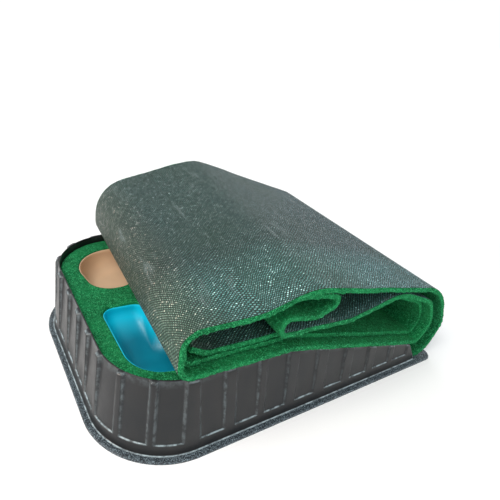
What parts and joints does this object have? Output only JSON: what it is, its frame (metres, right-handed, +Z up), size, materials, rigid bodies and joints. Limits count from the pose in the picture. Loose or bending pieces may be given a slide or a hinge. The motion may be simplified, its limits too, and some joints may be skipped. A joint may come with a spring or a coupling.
{
  "type": "practice putting mat",
  "caption": "Moulded putting tray with fluted walls, ramp, water and sand traps and a cup, with its woven-backed turf runner folded up and stored on top.",
  "frame": {"origin": "centre of the object's bounding box, at the floor under the flange", "axes": "+X from the tray's back wall toward the foot of its ramp, +Y from the water-trap side to the sand-trap side, +Z up"},
  "size_m": [0.5031, 0.362, 0.2051],
  "materials": {
    "tray_plastic": "thermoformed dark grey plastic with a soft sheen",
    "blue_plastic": "smooth moulded blue",
    "sand_plastic": "smooth moulded sand colour",
    "cup_plastic": "white moulded plastic",
    "green_pile": "short dense green pile",
    "woven_backing": "dark woven slit-tape backing"
  },
  "bodies": {
    "tray": {"base_shell": "tray_plastic", "water_trap_liner": "blue_plastic", "sand_trap_liner": "sand_plastic", "hole_cup": "cup_plastic", "deck_backing": "woven_backing", "deck_pile": "green_pile", "foot_backing": "woven_backing", "foot_pile": "green_pile"},
    "riser": {"riser_backing": "woven_backing", "riser_pile": "green_pile"},
    "roll": {"bottom_run_backing": "woven_backing", "bottom_run_pile": "green_pile", "fourth_run_backing": "woven_backing", "fourth_run_pile": "green_pile", "free_end_backing": "woven_backing", "free_end_pile": "green_pile", "inner_left_fold_backing": "woven_backing", "inner_left_fold_pile": "green_pile", "inner_right_loop_backing": "woven_backing", "inner_right_loop_pile": "green_pile", "left_fold_backing": "woven_backing", "left_fold_pile": "green_pile", "right_loop_backing": "woven_backing", "right_loop_pile": "green_pile", "rising_bend_backing": "woven_backing", "rising_bend_pile": "green_pile", "s_bend_backing": "woven_backing", "s_bend_pile": "green_pile", "second_run_backing": "woven_backing", "second_run_pile": "green_pile", "third_run_backing": "woven_backing", "third_run_pile": "green_pile", "top_run_backing": "woven_backing", "top_run_pile": "green_pile", "tucked_run_backing": "woven_backing", "tucked_run_pile": "green_pile"}
  },
  "joints": [
    {"name": "foot_fold", "type": "hinge", "parent": "tray", "child": "riser", "pos_m": [0.229, 0, 0.01045], "axis": [0, 1, 0], "range_deg": [0, 67]},
    {"name": "shoulder_fold", "type": "hinge", "parent": "riser", "child": "roll", "pos_m": [0.2341, 0, 0.08775], "axis": [0, 1, 0], "range_deg": [0, 85]}
  ]
}
